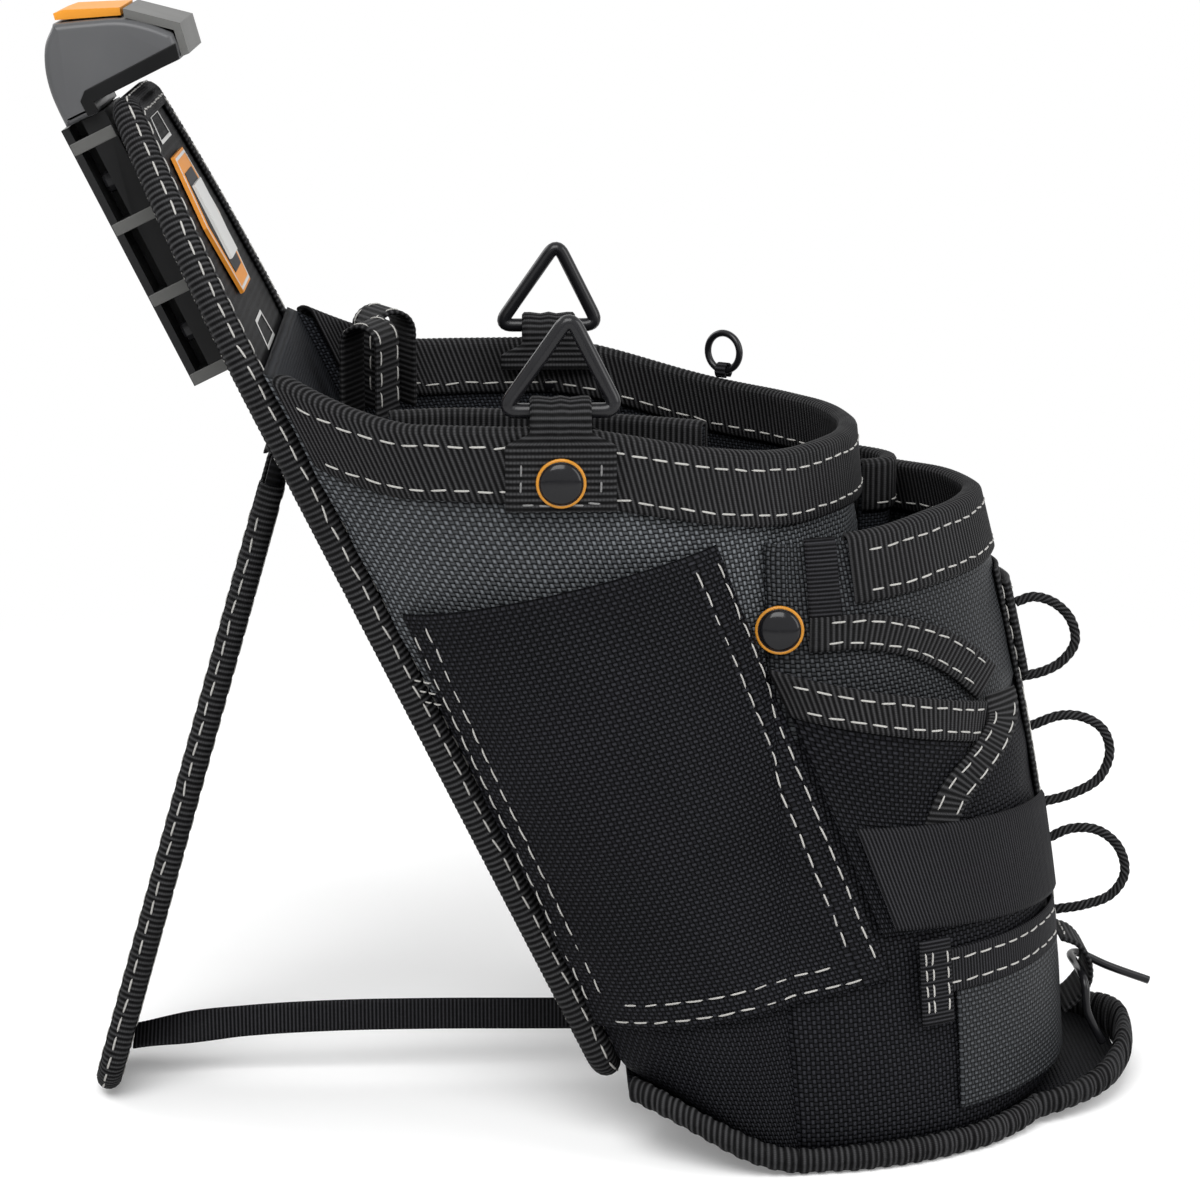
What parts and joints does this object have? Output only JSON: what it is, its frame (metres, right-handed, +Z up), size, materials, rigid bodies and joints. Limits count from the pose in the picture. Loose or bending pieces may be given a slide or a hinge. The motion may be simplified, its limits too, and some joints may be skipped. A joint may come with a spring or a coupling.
{
  "type": "electrician tool pouch",
  "caption": "Black ballistic-fabric tool pouch on a fold-out stand, with open pockets, sleeve pockets, webbing straps, cord loops, triangle rings and a belt hub.",
  "frame": {"origin": "middle of the footprint box of all the parts but the free cords, on the floor the pouch stands on", "axes": "+X towards the front of the pouch (the side with the cord loops), +Z up, -Y the near side with the rivets seen in the usual side view; the stand is open at rest"},
  "size_m": [0.3646, 0.1996, 0.3603],
  "materials": {
    "dark_fabric": "black ballistic weave",
    "grey_fabric": "dark grey ballistic weave with a slight sheen",
    "webbing": "black ribbed webbing with light grey stitches",
    "cord": "black braided cord",
    "hub_plastic": "satin charcoal plastic",
    "hub_trim": "satin grey plastic",
    "orange_plastic": "satin orange plastic",
    "label": "orange printed label with a grey border",
    "label_plate": "light grey printed plate, left blank",
    "black_metal": "glossy black coated wire",
    "rivet_metal": "glossy black domed rivet",
    "screw_metal": "black screw"
  },
  "bodies": {
    "pouch": {"back_board": "dark_fabric", "front_pocket_shell": "dark_fabric", "inner_divider": "dark_fabric", "front_divider": "dark_fabric", "bottom_panel": "dark_fabric", "main_pocket_shell": "grey_fabric", "back_board_binding": "webbing", "kickstand_hinge_strap": "webbing", "limit_strap": "webbing", "main_rim_tape": "webbing", "front_rim_tape": "webbing", "inner_divider_tape": "webbing", "front_divider_tape": "webbing", "inner_tool_loop_1": "webbing", "inner_tool_loop_2": "webbing", "front_spine": "webbing", "spine_patch": "webbing", "hook_loop": "webbing", "bottom_edge": "webbing", "small_ring_tab": "webbing", "near_sleeve_pocket": "dark_fabric", "near_side_pocket": "dark_fabric", "near_lower_panel": "grey_fabric", "near_side_band": "webbing", "near_curved_tape": "webbing", "near_tape_strap": "webbing", "near_ring_tab": "webbing", "near_tab_rivet": "rivet_metal", "near_side_rivet": "rivet_metal", "far_sleeve_pocket": "dark_fabric", "far_side_pocket": "dark_fabric", "far_lower_panel": "grey_fabric", "far_side_band": "webbing", "far_curved_tape": "webbing", "far_tape_strap": "webbing", "far_ring_tab": "webbing", "far_tab_rivet": "rivet_metal", "far_side_rivet": "rivet_metal", "cord_loop_1": "cord", "cord_loop_2": "cord", "cord_loop_3": "cord", "hub_receiver": "hub_plastic", "label_patch": "label", "label_plate": "label_plate"},
    "kickstand": {"kickstand_panel": "dark_fabric", "kickstand_binding": "webbing"},
    "belt_clip": {"hub_clip_frame": "hub_plastic", "hub_clip_back": "hub_plastic", "hub_hood": "hub_plastic", "hub_hood_insert": "orange_plastic", "hub_hood_trim": "hub_trim", "hub_screw_1": "screw_metal", "hub_screw_2": "screw_metal", "hub_screw_3": "screw_metal", "hub_screw_4": "screw_metal"},
    "near_ring": {"near_triangle_ring": "black_metal"},
    "far_ring": {"far_triangle_ring": "black_metal"},
    "wire_ring": {"small_ring": "black_metal"},
    "hook": {"tape_hook": "black_metal"}
  },
  "joints": [
    {"name": "kickstand_fold", "type": "hinge", "parent": "pouch", "child": "kickstand", "pos_m": [-0.11239, 0, 0.21741], "axis": [0, 1, 0], "range_deg": [-41.5, 0], "deforming": ["limit_strap"]},
    {"name": "belt_clip_release", "type": "slide", "parent": "pouch", "child": "belt_clip", "axis": [-0.4384, 0, 0.8988], "range_m": [0, 0.09]},
    {"name": "near_ring_swing", "type": "hinge", "parent": "pouch", "child": "near_ring", "pos_m": [-0.02363, -0.08755, 0.24385], "axis": [1, 0, 0], "range_deg": [-105, 105]},
    {"name": "far_ring_swing", "type": "hinge", "parent": "pouch", "child": "far_ring", "pos_m": [-0.02363, 0.08755, 0.24385], "axis": [-1, 0, 0], "range_deg": [-105, 105]},
    {"name": "wire_ring_swing", "type": "hinge", "parent": "pouch", "child": "wire_ring", "pos_m": [0.0366, 0.06875, 0.23058], "axis": [-0.7971, 0.6039, 0], "range_deg": [-90, 90]},
    {"name": "hook_swing", "type": "hinge", "parent": "pouch", "child": "hook", "pos_m": [0.15407, 0, 0.036], "axis": [0, 1, 0], "range_deg": [-6, 19]}
  ]
}
